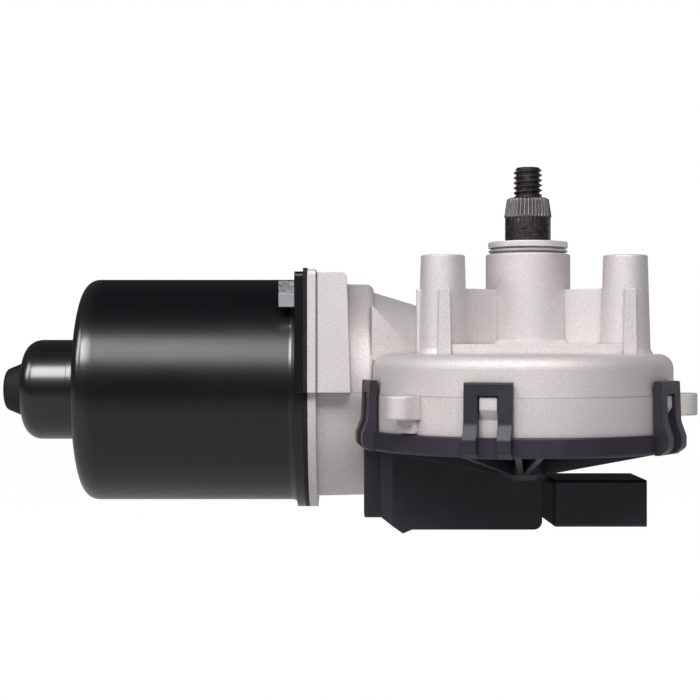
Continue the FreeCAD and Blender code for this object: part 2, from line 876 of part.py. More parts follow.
def armature():
    """Laminated core, windings and commutator, all pressed on the armature shaft."""
    bore = rod_x(armature_shaft_radius, shaft_rear_x, 0)
    core = rod_x(core_radius, core_start_x, core_end_x).cut(bore)
    mouth = box(
        core_start_x, core_end_x, motor_axis_y - 1.1, motor_axis_y + 1.1,
        motor_axis_z + core_radius - 3, motor_axis_z + core_radius + 1,
    )
    slot = armature_slot(0).fuse(mouth)
    step = 360 / slot_count
    core = core.cut([round_motor(slot, i * step) for i in range(slot_count)])
    save("armature_core", core)
    inner = armature_shaft_radius + 3.5
    rear = turned_x(
        [
            (core_start_x, inner),
            (core_start_x, core_radius - 2.6, 1.0),
            (core_start_x - winding_overhang, core_radius - 4.6, 3.5),
            (core_start_x - winding_overhang, inner, 2.0),
        ]
    )
    front = turned_x(
        [
            (core_end_x, inner),
            (core_end_x, core_radius - 2.6, 1.0),
            (core_end_x + winding_overhang, core_radius - 5.6, 3.5),
            (core_end_x + winding_overhang, inner, 2.0),
        ]
    )
    bars = [round_motor(armature_slot(0.3), i * step) for i in range(slot_count)]
    save("armature_windings", rear.fuse(bars + [front]).removeSplitter())
    body = turned_x(
        [
            (commutator_start_x, armature_shaft_radius),
            (commutator_start_x, commutator_radius + 1.8, 0.4),
            (commutator_start_x + 2.4, commutator_radius + 1.8, 0.4),
            (commutator_start_x + 2.4, commutator_radius),
            (commutator_end_x, commutator_radius, 0.4),
            (commutator_end_x, armature_shaft_radius),
        ]
    )
    gap = box(
        commutator_start_x - 1, commutator_end_x + 1, motor_axis_y - 0.3, motor_axis_y + 0.3,
        motor_axis_z + commutator_radius - 1.0, motor_axis_z + commutator_radius + 3,
    )
    turn = 360 / commutator_bars
    save("commutator", body.cut([round_motor(gap, (i + 0.5) * turn) for i in range(commutator_bars)]))


def barrel_x(x0, x1, crown_radius, bore_radius):
    """Solid about the motor axis with a spherical outside and a straight bore."""
    middle = (x0 + x1) / 2
    edge = math.sqrt(crown_radius ** 2 - ((x1 - x0) / 2) ** 2)
    places = [(x0, bore_radius), (x0, edge), (middle, crown_radius), (x1, edge), (x1, bore_radius)]
    low, start, crown, end, high = [V(x, motor_axis_y, motor_axis_z + r) for x, r in places]
    edges = [
        Part.LineSegment(low, start).toShape(),
        Part.Arc(start, crown, end).toShape(),
        Part.LineSegment(end, high).toShape(),
        Part.LineSegment(high, low).toShape(),
    ]
    return Part.Face(Part.Wire(edges)).revolve(V(0, motor_axis_y, motor_axis_z), V(1, 0, 0), 360)


def rear_bearing_parts():
    """Self-aligning bush and the split cup that holds it in the end of the can."""
    cup_inner = bearing_cup_radius - can_wall
    rear = bearing_cup_end_x + can_wall + 0.2
    front = rear + rear_bush_length
    save("rear_bearing", barrel_x(rear, front, rear_bush_crown, armature_shaft_radius + running_clearance))
    holder = rod_x(cup_inner - 0.02, rear, front)
    rounding = bearing_cup_corner - can_wall + 0.3
    holder = holder.makeFillet(rounding, [edge for edge in holder.Edges if edge.BoundBox.XMax < rear + 0.01])
    seat = barrel_x(rear, front, rear_bush_crown + 0.02, 1.0)
    save("bearing_holder", holder.cut(seat).cut(rod_x(2.0, rear, front)))


def yoke_can():
    """Deep-drawn can with its bearing cup, mouth flange and two screw ears."""
    base = bearing_cup_radius + 0.3
    groove_x = can_end_x - cup_base_length * 0.45
    outer = turned_x(
        [
            (can_face_x, 0),
            (can_face_x, can_radius + 1),
            (can_flange_x, can_radius + 0.7),
            (can_flange_x - 1.2, can_radius),
            (can_end_x, can_radius, can_corner),
            (can_end_x, base),
            (groove_x + 0.2, base),
            (groove_x, bearing_cup_radius - 0.1),
            (groove_x - 0.2, base),
            (can_end_x - cup_base_length, base),
            (can_end_x - cup_base_length - 0.2, bearing_cup_radius),
            (bearing_cup_end_x, bearing_cup_radius, bearing_cup_corner),
            (bearing_cup_end_x, 0),
        ]
    )
    inner = turned_x(
        [
            (can_face_x + 1, 0),
            (can_face_x + 1, can_inner_radius),
            (can_end_x + can_wall, can_inner_radius, can_corner - can_wall),
            (can_end_x + can_wall, bearing_cup_radius - can_wall),
            (bearing_cup_end_x + can_wall, bearing_cup_radius - can_wall, bearing_cup_corner - can_wall),
            (bearing_cup_end_x + can_wall, 0),
        ]
    )
    flange = motor_flange(can_flange_x, can_face_x, can_ear_rise)
    plug_hole = rod_x(nose_plug_radius + 0.1, bearing_cup_end_x - 1, bearing_cup_end_x + 5)
    can = outer.fuse(flange).cut([inner, plug_hole])
    for y, z in screw_places():
        can = can.cut(rod_x(screw_hole_radius + 0.2, can_flange_x - 1, can_face_x + 1, y, z))
    save("yoke_can", can.removeSplitter())
    nose = turned_x(
        [
            (bearing_cup_end_x + can_wall, 0),
            (bearing_cup_end_x + can_wall, nose_plug_radius),
            (bearing_cup_end_x, nose_plug_radius),
            (bearing_cup_end_x, nose_radius, 0.5),
            (bearing_cup_end_x - nose_length, nose_tip_radius, 2.0),
            (bearing_cup_end_x - nose_length, 0),
        ]
    )
    save("nose_cap", nose)


def motor_fixings():
    """Can gasket and the two hexagon screws with their washer faces."""
    gasket = motor_flange(can_face_x, flange_face_x, gasket_ear_rise)
    gasket = gasket.cut(rod_x(neck_inner_radius + 0.5, can_face_x - 1, 0))
    for y, z in screw_places():
        gasket = gasket.cut(rod_x(screw_hole_radius + 0.2, can_face_x - 1, 0, y, z))
    save("motor_gasket", gasket)
    screws = []
    circle = screw_head_flats / math.sqrt(3)
    for y, z in screw_places():
        points = []
        for i in range(7):
            angle = math.radians(60 * i)
            points.append(V(can_flange_x, y + circle * math.cos(angle), z + circle * math.sin(angle)))
        head = Part.Face(Part.makePolygon(points)).extrude(V(-screw_head_height, 0, 0))
        dome = Part.makeCone(
            circle + screw_head_height, circle - 0.4, screw_head_height + 0.4,
            V(can_flange_x, y, z), V(-1, 0, 0),
        )
        shank = rod_x(screw_radius, can_flange_x - 0.5, can_flange_x + screw_length - 0.5, y, z)
        screws.append(head.common(dome).fuse(shank).removeSplitter())
    save("motor_screws", *screws)


def magnets():
    """Two ferrite arcs and the two spring clips that spread them against the can."""
    arc = ring_x(magnet_inner_radius, can_inner_radius - 0.02, magnet_start_x, magnet_end_x)
    half = math.radians(magnet_half_angle)
    far = can_radius * 2
    sector = plate_yz(
        [
            (motor_axis_y, motor_axis_z),
            (motor_axis_y + far * math.sin(half), motor_axis_z + far * math.cos(half)),
            (motor_axis_y - far * math.sin(half), motor_axis_z + far * math.cos(half)),
        ],
        magnet_start_x - 1,
        magnet_end_x + 1,
    )
    upper = arc.common(sector)
    save("magnet_upper", upper)
    save("magnet_lower", round_motor(upper, 180))
    gap_half = 90 - magnet_half_angle
    clips = []
    for side in (0, 180):
        strip = ring_x(can_inner_radius - 1.4, can_inner_radius - 0.2, magnet_start_x + 4, magnet_end_x - 4)
        reach = far * math.tan(math.radians(gap_half - 0.4))
        wedge = plate_yz(
            [
                (motor_axis_y, motor_axis_z),
                (motor_axis_y - far, motor_axis_z - reach),
                (motor_axis_y - far, motor_axis_z + reach),
            ],
            magnet_start_x,
            magnet_end_x,
        )
        clips.append(round_motor(strip.common(wedge), side))
    save("magnet_clips", *clips)


def brush_gear():
    """Card, brass holders, carbon brushes, springs, chokes, capacitor and thermal cut-out."""
    card_front = card_seat_x - card_thickness
    card = ring_x(card_hole_radius, neck_inner_radius - 0.1, card_front, card_seat_x)
    hole = rod_x(2.0, card_front - 1, card_seat_x + 1, motor_axis_y - card_screw_circle)
    save("brush_card", card.cut([round_motor(hole, angle) for angle in (45, 225)]))
    inner_r = commutator_radius + 0.02
    half_w = brush_width / 2
    half_h = brush_height / 2
    brushes, holders, springs = [], [], []
    holder_low = inner_r + holder_gap
    holder_high = inner_r + brush_length + holder_overhang
    for angle in brush_angles:
        block = box(
            brush_x - half_w, brush_x + half_w, motor_axis_y - half_h, motor_axis_y + half_h,
            motor_axis_z + commutator_radius - 2, motor_axis_z + inner_r + brush_length,
        ).cut(rod_x(inner_r, brush_x - brush_width, brush_x + brush_width))
        tube = box(
            brush_x - half_w - holder_wall, brush_x + half_w + holder_wall,
            motor_axis_y - half_h - holder_wall, motor_axis_y + half_h + holder_wall,
            motor_axis_z + holder_low, motor_axis_z + holder_high,
        )
        hollow = box(
            brush_x - half_w - 0.05, brush_x + half_w + 0.05,
            motor_axis_y - half_h - 0.05, motor_axis_y + half_h + 0.05,
            motor_axis_z, motor_axis_z + holder_high - holder_wall,
        )
        top = motor_axis_z + holder_high - holder_wall
        brush_top = motor_axis_z + inner_r + brush_length
        low_leg = top - spring_sheet - 0.05
        spring = plate_xz(
            [
                (brush_x - spring_reach, low_leg),
                (brush_x - spring_reach, top),
                (brush_x + spring_reach, top),
                (brush_x + spring_reach, low_leg),
                (brush_x - spring_reach / 4, brush_top + spring_sheet),
                (brush_x + spring_reach, brush_top + spring_sheet),
                (brush_x + spring_reach, brush_top),
                (brush_x - spring_reach, brush_top),
                (brush_x - spring_reach, brush_top + spring_sheet),
                (brush_x + spring_reach / 3, low_leg),
            ],
            motor_axis_y - spring_width / 2,
            motor_axis_y + spring_width / 2,
        )
        brushes.append(round_motor(block, angle))
        holders.append(round_motor(tube.cut(hollow), angle))
        springs.append(round_motor(spring, angle))
    save("brushes", *brushes)
    save("brush_holders", *holders)
    save("brush_springs", *springs)
    coils = []
    part_z = motor_axis_z + choke_circle
    for angle in (55, 235):
        coil = rod_x(choke_radius, card_front - choke_length, card_front, motor_axis_y, part_z)
        coils.append(round_motor(coil, angle))
    save("chokes", *coils)
    low = motor_axis_z + cut_out_low
    half = cut_out_width / 2
    cut_out = box(
        card_front - cut_out_length, card_front, motor_axis_y - half, motor_axis_y + half,
        low, low + cut_out_height,
    )
    save("thermal_cut_out", round_motor(cut_out, 270))
    rear = card_front - capacitor_length
    can = rod_x(capacitor_radius, rear, card_front, motor_axis_y, part_z)
    save("suppression_capacitor", round_motor(can, 150))


def worm_bearings():
    """Middle and front bushes, thrust pad and adjusting screw in the tunnel."""
    inner = armature_shaft_radius + running_clearance
    save("middle_bush", ring_x(inner, bearing_bore_radius - 0.02, middle_bush_start_x, middle_bush_end_x))
    inner = front_journal_radius + running_clearance
    save("front_bush", ring_x(inner, tunnel_bore_radius - 0.02, worm_end_x + 2.0, shaft_front_x - 1.0))
    pad_end = shaft_front_x + 1.6
    save("thrust_pad", rod_x(tunnel_bore_radius - 0.1, shaft_front_x + 0.05, pad_end))
    slot = box(
        tunnel_end_x, tunnel_end_x + tunnel_wall, motor_axis_y - tunnel_radius,
        motor_axis_y + tunnel_radius, motor_axis_z - 0.8, motor_axis_z + 0.8,
    )
    screw = rod_x(tunnel_bore_radius - 0.02, pad_end, tunnel_end_x + 1.4).cut(slot)
    save("thrust_screw", screw)


def clip(degrees):
    """Cover clip: a window that snaps over a cast wedge, on a foot that swells out of the rim."""
    lip = case_radius + 0.1
    inner = case_radius + 0.3
    outer = inner + clip_thickness
    foot = outer + clip_foot
    bar_z = clip_top_z - clip_bar_height
    blade = plate_xz(
        [
            (lip, clip_top_z, 0.4),
            (outer, clip_top_z, 0.5),
            (outer + clip_draft, rim_top_z + 3.4, 3.0),
            (foot, rim_top_z - 0.6, 1.2),
            (foot, rim_bottom_z + 1.6, 1.8),
            (outer - 0.6, rim_bottom_z - 0.2),
            (inner, rim_bottom_z - 0.2),
            (inner, bar_z),
            (lip, bar_z),
        ],
        -clip_width / 2,
        clip_width / 2,
    )
    half = clip_window_width / 2
    window = box(lip - 1, foot + 1, -half, half, rim_top_z - 0.01, bar_z)
    recess = box(outer - 0.2, foot + 1, -half, half, rim_bottom_z - 2, rim_top_z + 1)
    blade = blade.cut([window, recess])
    blade.translate(V(case_centre_x, 0, 0))
    return at_angle(blade, degrees, case_centre_x)


def cover_rib(degrees):
    rib = plate_xz(
        [(0, cover_floor_z - 1), (cover_radius - 1.2, cover_floor_z - 1), (cover_radius - 1.2, rim_bottom_z),
         (rib_hub_radius - 1, rib_hub_z + 1.4), (0, rib_hub_z + 1.4)],
        -rib_thickness / 2,
        rib_thickness / 2,
    )
    rib.translate(V(case_centre_x, 0, 0))
    return at_angle(rib, degrees, case_centre_x)


def pod_block(inset):
    """Relay housing under the cover, or its hollow when inset by the wall."""
    return plate_xz(
        [
            (pod_left_x + inset, cover_floor_z - 1),
            (pod_left_x + inset, pod_bottom_z + pod_slope_rise + inset * 0.6),
            (pod_left_x + pod_keel_start, pod_bottom_z - pod_keel_drop + inset, 0.6),
            (pod_left_x + pod_keel_end, pod_bottom_z + inset),
            (pod_right_x - inset, pod_bottom_z + inset, max(pod_corner_radius - inset, 0.4)),
            (pod_right_x - inset, cover_floor_z - 1),
        ],
        pod_front_y + inset,
        pod_back_y - inset,
    )


def terminals():
    """Bent blades that run from the circuit board, through the link, into the socket."""
    blades = []
    middle = (socket_front_y + socket_back_y) / 2
    foot_x = pod_right_x - pod_wall - 3.0
    tip_x = socket_right_x - socket_depth + terminal_free_length
    for i in range(terminal_count):
        y = middle + (i - (terminal_count - 1) / 2) * terminal_pitch
        blades.append(
            plate_xz(
                [
                    (foot_x, board_bottom_z),
                    (foot_x, terminal_z - terminal_thickness, 1.2),
                    (tip_x, terminal_z - terminal_thickness),
                    (tip_x, terminal_z),
                    (foot_x + terminal_thickness, terminal_z, 0.4),
                    (foot_x + terminal_thickness, board_bottom_z),
                ],
                y - terminal_width / 2,
                y + terminal_width / 2,
            )
        )
    return blades


def gear_cover():
    """Moulded cover with rim, clips, underside ribs, relay housing and connector socket."""
    cup = turned_z(
        [
            (0, cover_floor_z),
            (case_radius + cover_gap, cover_floor_z),
            (case_radius + cover_gap, rim_top_z),
            (cover_radius - 0.3, rim_top_z, 0.4),
            (cover_radius, rim_bottom_z, 0.8),
            (0, rim_bottom_z),
        ],
        case_centre_x,
    )
    hub = turned_z(
        [
            (0, cover_floor_z - 1),
            (rib_hub_radius, cover_floor_z - 1),
            (rib_hub_radius, rib_hub_z + 1.6),
            (rib_hub_radius - 2.0, rib_hub_z, 0.6),
            (0, rib_hub_z),
        ],
        case_centre_x,
    )
    pod = pod_block(0)
    left_edges = [e for e in pod.Edges if e.BoundBox.XMax < pod_left_x + 0.1]
    pod = pod.makeChamfer(3.4, [e for e in left_edges if e.BoundBox.YMax < pod_front_y + 0.1])
    side_pod = plate_xz(
        [
            (side_pod_left_x, rim_bottom_z + 1.6, 0.8),
            (side_pod_left_x, side_pod_bottom_z, 0.6),
            (pod_left_x + 1, side_pod_bottom_z),
            (pod_left_x + 1, rim_bottom_z + 1.6),
        ],
        side_pod_front_y,
        side_pod_back_y,
    )
    side_pod = side_pod.cut([
        rod_z(case_radius + cover_gap, cover_floor_z, 0, case_centre_x),
        rod_x(neck_radius + 0.4, side_pod_left_x - 1, neck_end_x + 0.4),
    ])
    link = plate_xz(
        [
            (pod_right_x - 1, socket_top_z - 0.9),
            (socket_left_x + 1, socket_top_z - 0.9),
            (socket_left_x + 1, socket_bottom_z),
            (socket_left_x, socket_bottom_z),
            (pod_right_x, socket_bottom_z + 2.8),
            (pod_right_x - 1, socket_bottom_z + 2.8),
        ],
        socket_front_y + 2.0,
        socket_back_y - 1.5,
    )
    socket = plate_yz(
        [
            (socket_front_y, socket_top_z, 0.8),
            (socket_back_y, socket_top_z, 2.4),
            (socket_back_y, socket_bottom_z, 2.4),
            (socket_front_y, socket_bottom_z, 0.8),
        ],
        socket_left_x,
        socket_right_x,
    )
    hollow = plate_yz(
        [
            (socket_front_y + socket_wall, socket_top_z - socket_wall, 0.6),
            (socket_back_y - socket_wall, socket_top_z - socket_wall, 1.2),
            (socket_back_y - socket_wall, socket_bottom_z + socket_wall, 1.2),
            (socket_front_y + socket_wall, socket_bottom_z + socket_wall, 0.6),
        ],
        socket_right_x - socket_depth,
        socket_right_x + 1,
    )
    posts = []
    for angle in board_post_angles:
        x, y = on_circle(board_post_circle, angle, case_centre_x)
        posts.append(rod_z(board_post_radius, cover_floor_z - 1, board_bottom_z, x, y))
    ribs = [cover_rib(angle) for angle in rib_angles]
    clips = [clip(angle) for angle in clip_angles]
    body = cup.fuse([hub, pod, side_pod, link, socket] + ribs + clips + posts)
    relay_room = pod_block(pod_wall)
    roof = box(
        pod_left_x + pod_wall, pod_right_x - pod_wall, pod_front_y + pod_wall, pod_back_y - pod_wall,
        cover_floor_z - 3, cover_floor_z + 0.01,
    )
    holes = [relay_room, roof.common(rod_z(case_inner_radius, pod_bottom_z, 0, case_centre_x)), hollow]
    for angle in board_post_angles:
        x, y = on_circle(board_post_circle, angle, case_centre_x)
        hole_z = board_bottom_z - board_screw_reach - 0.2
        holes.append(rod_z(board_screw_radius + 0.05, hole_z, board_bottom_z + 1, x, y))
    return body.cut(holes + terminals()).removeSplitter()


def control_parts():
    """Cover gasket, circuit board, its screws, relays, terminals and park contacts."""
    seal = ring_z(case_inner_radius + 0.3, case_radius - 0.2, cover_floor_z, case_bottom_z, case_centre_x)
    save("cover_gasket", seal)
    board = rod_z(board_radius, board_bottom_z, board_top_z, case_centre_x)
    screws = []
    for angle in board_post_angles:
        x, y = on_circle(board_post_circle, angle, case_centre_x)
        board = board.cut(rod_z(board_screw_radius + 0.2, board_bottom_z - 1, board_top_z + 1, x, y))
        shank = rod_z(board_screw_radius, board_bottom_z - board_screw_reach, board_top_z, x, y)
        head = rod_z(2 * board_screw_radius, board_top_z, board_top_z + board_screw_head, x, y)
        screws.append(shank.fuse(head))
    save("circuit_board", board)
    save("board_screws", *screws)
    left = pod_left_x + pod_wall + relay_offset
    for name in ("relay_slow_speed", "relay_fast_speed"):
        low = board_bottom_z - relay_height
        relay = box(left, left + relay_width, relay_front_y, relay_front_y + relay_depth, low, board_bottom_z)
        save(name, relay.makeChamfer(0.6, relay.Edges))
        left += relay_width + relay_gap
    save("connector_terminals", *terminals())
    fingers = []
    contact_z = wheel_bottom_z - park_ring_thickness - 0.05
    for track in range(3):
        y = -(park_ring_inner + contact_inset + track * contact_pitch)
        fingers.append(
            plate_xz(
                [
                    (contact_foot_x, board_top_z),
                    (contact_bend_x, board_top_z),
                    (contact_bend_x, board_top_z + contact_sheet),
                    (contact_bend_x - 1.9, board_top_z + contact_sheet + 0.1, 0.8),
                    (contact_tip_x - 1.8, contact_z - contact_sheet - 0.1, 1.0),
                    (contact_tip_x, contact_z - 1.5),
                    (contact_tip_x + 0.3, contact_z - 1.1),
                    (contact_tip_x - 1.8, contact_z, 0.8),
                    (contact_bend_x - 2.5, board_top_z + 2 * contact_sheet + 0.1, 0.8),
                    (contact_foot_x, board_top_z + contact_sheet),
                ],
                y - contact_width / 2,
                y + contact_width / 2,
            )
        )
    save("park_contacts", *fingers)


save("gear_housing", gear_housing())
hub_parts()
output_shaft()
worm_wheel()
armature_shaft()
armature()
rear_bearing_parts()
yoke_can()
motor_fixings()
magnets()
brush_gear()
worm_bearings()
save("gear_cover", gear_cover())
control_parts()
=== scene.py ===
"""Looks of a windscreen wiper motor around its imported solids, in metres and in the part's frame."""
import bpy
import json
import math
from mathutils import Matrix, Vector


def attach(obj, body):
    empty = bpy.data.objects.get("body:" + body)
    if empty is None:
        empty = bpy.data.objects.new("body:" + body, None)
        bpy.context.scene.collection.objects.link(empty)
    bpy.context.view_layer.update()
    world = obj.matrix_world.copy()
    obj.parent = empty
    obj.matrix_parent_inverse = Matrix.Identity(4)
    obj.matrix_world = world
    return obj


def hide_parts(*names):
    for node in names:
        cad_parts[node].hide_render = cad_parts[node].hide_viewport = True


MM = 0.001
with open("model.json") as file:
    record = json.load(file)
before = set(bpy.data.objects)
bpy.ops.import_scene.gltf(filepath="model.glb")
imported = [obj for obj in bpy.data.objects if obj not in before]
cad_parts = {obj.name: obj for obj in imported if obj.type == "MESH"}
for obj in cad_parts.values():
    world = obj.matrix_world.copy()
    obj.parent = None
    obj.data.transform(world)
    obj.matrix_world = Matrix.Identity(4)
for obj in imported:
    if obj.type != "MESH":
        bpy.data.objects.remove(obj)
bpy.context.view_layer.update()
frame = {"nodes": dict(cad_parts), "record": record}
scene = bpy.context.scene

# Camera: level and square to the motor's axis
CAMERA_PLACE = (-49.8 * MM, -420.0 * MM, -25.6 * MM)
CAMERA_LENS = 77.14
CAMERA_SENSOR = 36.0

# Soft lights: place, width, height and power
MIDDLE = (-50 * MM, 20 * MM, -35 * MM)
KEY_LIGHT = ((-0.16, -0.85, 0.75), 1.3, 0.5, 14.8)
LEFT_LIGHT = ((-1.0, -0.38, 0.6), 0.45, 0.5, 3.5)
BACK_LIGHT = ((0.75, 0.7, 0.3), 0.4, 0.9, 0.8)

# Studio room and floor
ROOM_BELOW = (0.45, 0.45, 0.455, 1)
ROOM_ABOVE = (0.05, 0.05, 0.051, 1)
ROOM_EDGE = (0.39, 0.46)
FLOOR_Z = -165.0 * MM
FLOOR_SIZE = 6.0
FLOOR_MIDDLE_Y = 2.6
FLOOR_GREY = (0.45, 0.45, 0.45, 1)
FLOOR_GLOW = 1.07
FLOOR_GLOW_SEEN = 0.92
FLOOR_GLOW_MIRRORED = 0.39

# Gear case: parting line on its wall and on the neck
PARTING_Z = -37.75 * MM
CASE_MIDDLE_X = -1.75 * MM
CASE_RADIUS = 42.0 * MM
NECK_END_X = -43.0 * MM
LINE_CORE = 0.1 * MM
LINE_FADE = 0.22 * MM
LINE_STRENGTH = 0.6

# Motor can: where its enamel is thick
CAN_END_X = -129.7 * MM
CUP_GLOSS = (3.6 * MM, 6.2 * MM)
FLARE_START_X = -67.4 * MM
FLARE_END_X = -66.6 * MM

# Output shaft: plain length, serrations for the lever and the threaded stud
SHAFT_SIDES = 288
SHAFT_FOOT_Z = -43.5 * MM
SHAFT_RADIUS = 6.35 * MM
SHAFT_CHAMFER = 0.6 * MM
RING_GROOVE_Z = 3.05 * MM
RING_GROOVE_HEIGHT = 0.6 * MM
RING_GROOVE_DEPTH = 0.6 * MM
SEAM_Z = 7.6 * MM
SEAM_HALF_WIDTH = 0.12 * MM
SEAM_DEPTH = 0.14 * MM
SERRATIONS = 36
SERRATION_FOOT_Z = 11.5 * MM
SERRATION_TOP_Z = 16.8 * MM
SERRATION_FOOT_RADIUS = 6.62 * MM
SERRATION_TOP_RADIUS = 5.87 * MM
SERRATION_DEPTH = 0.52 * MM
SERRATION_ROWS = 8
STUD_RADIUS = 3.95 * MM
STUD_TOP_Z = 25.35 * MM
STUD_CHAMFER = 0.85 * MM
THREAD_PITCH = 1.411 * MM
THREAD_DEPTH = 0.78 * MM
THREAD_CREST = 0.14
THREAD_FLANK = 0.72
THREAD_RUN_IN = 0.7
THREAD_STEP = 0.07 * MM


class Shader:
    """Node tree of one material, with its surface shader and the piece's own coordinates."""

    def __init__(self, name, colour, roughness, metallic=0.0, specular=0.5):
        self.material = bpy.data.materials.new(name)
        self.material.use_nodes = True
        self.tree = self.material.node_tree
        self.surface = self.tree.nodes["Principled BSDF"]
        self.surface.inputs["Base Color"].default_value = (*colour, 1.0)
        self.surface.inputs["Roughness"].default_value = roughness
        self.surface.inputs["Metallic"].default_value = metallic
        self.surface.inputs["Specular IOR Level"].default_value = specular
        self.place = self.add("ShaderNodeTexCoord").outputs["Object"]
        self.normal = None

    def add(self, kind, **values):
        """Add a node; each value sets its property of that name, or else its input of that name."""
        node = self.tree.nodes.new(kind)
        for name, value in values.items():
            if hasattr(node, name):
                setattr(node, name, value)
            else:
                self.feed(node.inputs[name.replace("_", " ").title()], value)
        return node

    def feed(self, socket, value):
        """Link another node's output to a socket, or set the socket to a plain value."""
        if isinstance(value, bpy.types.NodeSocket):
            self.tree.links.new(value, socket)
        else:
            socket.default_value = value

    def noise(self, scale, detail=2.0, roughness=0.5, stretch=(1, 1, 1)):
        """Cloudy noise, with its scale in cells per metre."""
        place = self.place
        if stretch != (1, 1, 1):
            place = self.add("ShaderNodeMapping", Vector=place, Scale=stretch).outputs[0]
        node = self.add("ShaderNodeTexNoise", Vector=place, Scale=scale, Detail=detail, Roughness=roughness)
        return node.outputs["Fac"]

    def bands(self, scale, direction="X", distortion=0.0):
        """Even bands across one direction."""
        node = self.add("ShaderNodeTexWave", Vector=self.place, Scale=scale, Distortion=distortion)
        node.bands_direction = direction
        return node.outputs["Fac"]

    def math(self, operation, first, second=0.0):
        node = self.add("ShaderNodeMath", operation=operation)
        self.feed(node.inputs[0], first)
        self.feed(node.inputs[1], second)
        return node.outputs["Value"]

    def spread(self, value, low, high, to_low=0.0, to_high=1.0):
        """Map low..high to to_low..to_high, held at both ends."""
        node = self.add("ShaderNodeMapRange")
        for name, number in zip(("From Min", "From Max", "To Min", "To Max"), (low, high, to_low, to_high)):
            node.inputs[name].default_value = number
        self.feed(node.inputs["Value"], value)
        return node.outputs["Result"]

    def blend(self, share, first, second):
        """Mix two colours by the share of the second."""
        node = self.add("ShaderNodeMix", data_type="RGBA")
        self.feed(node.inputs["Factor"], share)
        self.feed(node.inputs["A"], first if isinstance(first, bpy.types.NodeSocket) else (*first, 1.0))
        self.feed(node.inputs["B"], second if isinstance(second, bpy.types.NodeSocket) else (*second, 1.0))
        return node.outputs["Result"]

    def colour(self, value):
        self.feed(self.surface.inputs["Base Color"], value)

    def roughness(self, value):
        self.feed(self.surface.inputs["Roughness"], value)

    def soft_edges(self, radius):
        """Round the look of every edge by a small radius."""
        self.normal = self.add("ShaderNodeBevel", samples=4, Radius=radius).outputs["Normal"]
        self.feed(self.surface.inputs["Normal"], self.normal)

    def bump(self, height, depth, strength):
        """Raise the surface by a height pattern, on top of what was raised before."""
        node = self.add("ShaderNodeBump", Height=height, Distance=depth, Strength=strength)
        if self.normal is not None:
            self.feed(node.inputs["Normal"], self.normal)
        self.normal = node.outputs["Normal"]
        self.feed(self.surface.inputs["Normal"], self.normal)


def parting_line(look):
    """Thin dark line along where the two halves of the mould met, on the gear case's wall and on the neck.
    """
    axes = look.add("ShaderNodeSeparateXYZ", Vector=look.place).outputs
    away = look.math("ABSOLUTE", look.math("SUBTRACT", axes["Z"], PARTING_Z))
    across = look.math("POWER", look.math("SUBTRACT", axes["X"], CASE_MIDDLE_X), 2.0)
    reach = look.math("SQRT", look.math("ADD", across, look.math("POWER", axes["Y"], 2.0)))
    off_wall = look.math("ABSOLUTE", look.math("SUBTRACT", reach, CASE_RADIUS))
    wall = look.spread(off_wall, 0.3 * MM, 0.5 * MM, 1.0, 0.0)
    neck = look.spread(axes["X"], NECK_END_X - 0.2 * MM, NECK_END_X, 0.7, 0.0)
    line = look.spread(away, LINE_CORE, LINE_FADE, LINE_STRENGTH, 0.0)
    return look.math("MULTIPLY", line, look.math("MAXIMUM", wall, neck))


def cast_metal(name, colour):
    """Die-cast aluminium, blasted to a fine sand grain, with cloudy tone, darker pits and painted shade in
    its corners and creases.
    """
    look = Shader(name, colour, 0.5, metallic=0.6, specular=0.45)
    look.soft_edges(0.5 * MM)
    clouds = look.spread(look.noise(55, detail=4, roughness=0.6), 0.3, 0.7)
    grain = look.noise(1900, detail=3, roughness=0.7)
    warm = (colour[0] * 1.03, colour[1] * 0.99, colour[2] * 0.98)
    cool = (colour[0] * 0.92, colour[1] * 0.93, colour[2] * 0.935)
    tone = look.blend(clouds, cool, warm)
    speck = look.spread(grain, 0.3, 0.6)
    pits = tuple(c * 0.82 for c in colour)
    skin = look.blend(parting_line(look), look.blend(speck, pits, tone), tuple(c * 0.45 for c in colour))
    # Painted shade: the colour darkens where ambient occlusion finds nearby surfaces, in corners and
    # creases.
    corners = look.add("ShaderNodeAmbientOcclusion", samples=8, Distance=1.6 * MM).outputs["AO"]
    painted_corner_shade = look.spread(corners, 0.35, 0.8, 0.6, 0.0)
    look.colour(look.blend(painted_corner_shade, skin, tuple(c * 0.4 for c in colour)))
    look.roughness(look.spread(grain, 0.3, 0.7, 0.72, 0.56))
    look.bump(grain, 0.07 * MM, 0.8)
    look.bump(look.noise(260, detail=2), 0.06 * MM, 0.5)
    return look.material


def enamel(name, colour):
    """Gloss enamel with a faint orange peel, thicker and glossier on the bearing cup and in the bends."""
    look = Shader(name, colour, 0.3, specular=0.5)
    look.soft_edges(0.35 * MM)
    along = look.add("ShaderNodeSeparateXYZ", Vector=look.place).outputs["X"]
    facing = look.add("ShaderNodeSeparateXYZ", Vector=look.add("ShaderNodeTexCoord").outputs["Normal"])
    cup = look.spread(along, CAN_END_X + CUP_GLOSS[0], CAN_END_X + CUP_GLOSS[1], 1.0, 0.0)
    from_can = look.spread(along, FLARE_START_X, FLARE_START_X + 0.4 * MM)
    to_flange = look.spread(along, FLARE_END_X, FLARE_END_X + 0.2 * MM, 1.0, 0.0)
    flare = look.math("MULTIPLY", from_can, to_flange)
    upward = look.spread(facing.outputs["Z"], -0.1, 0.2, 0.2, 1.0)
    thick = look.math("MULTIPLY", look.math("MAXIMUM", cup, flare), upward)
    look.feed(look.surface.inputs["Coat Weight"], thick)
    look.surface.inputs["Coat IOR"].default_value = 1.8
    look.surface.inputs["Coat Roughness"].default_value = 0.2
    peel = look.noise(420, detail=2)
    look.roughness(look.spread(look.noise(38, detail=3), 0.3, 0.7, 0.28, 0.33))
    look.bump(peel, 0.012 * MM, 0.5)
    look.bump(look.noise(30, detail=1, stretch=(0.2, 1, 1)), 0.08 * MM, 0.4)
    return look.material


